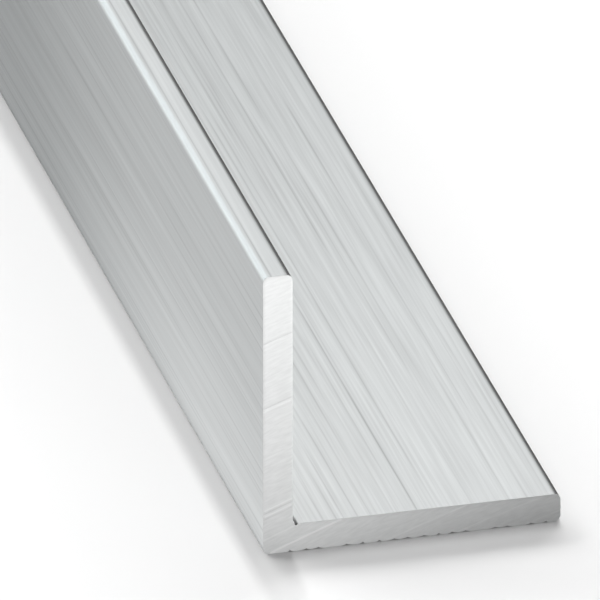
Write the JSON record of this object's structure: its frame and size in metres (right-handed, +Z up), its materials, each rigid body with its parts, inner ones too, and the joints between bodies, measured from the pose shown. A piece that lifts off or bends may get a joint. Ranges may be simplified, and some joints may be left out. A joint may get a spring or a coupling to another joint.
{
  "type": "equal aluminium angle section",
  "caption": "Straight bar of extruded L-shaped angle with equal flat legs, small rounded corners and square sawn ends.",
  "frame": {"origin": "on the surface that the bar lies on, under the middle of its overall box, so half way along the bar and half way across the base leg", "axes": "+Y along the bar from its front end to its far end, +X along the base leg from the heel to the toe, +Z up the upright leg"},
  "size_m": [0.02, 1, 0.02],
  "materials": {
    "mill_aluminium": "mill finish as extruded, with fine lines along the bar and saw marks on the ends"
  },
  "bodies": {
    "root": {"angle_bar": "mill_aluminium"}
  },
  "joints": []
}
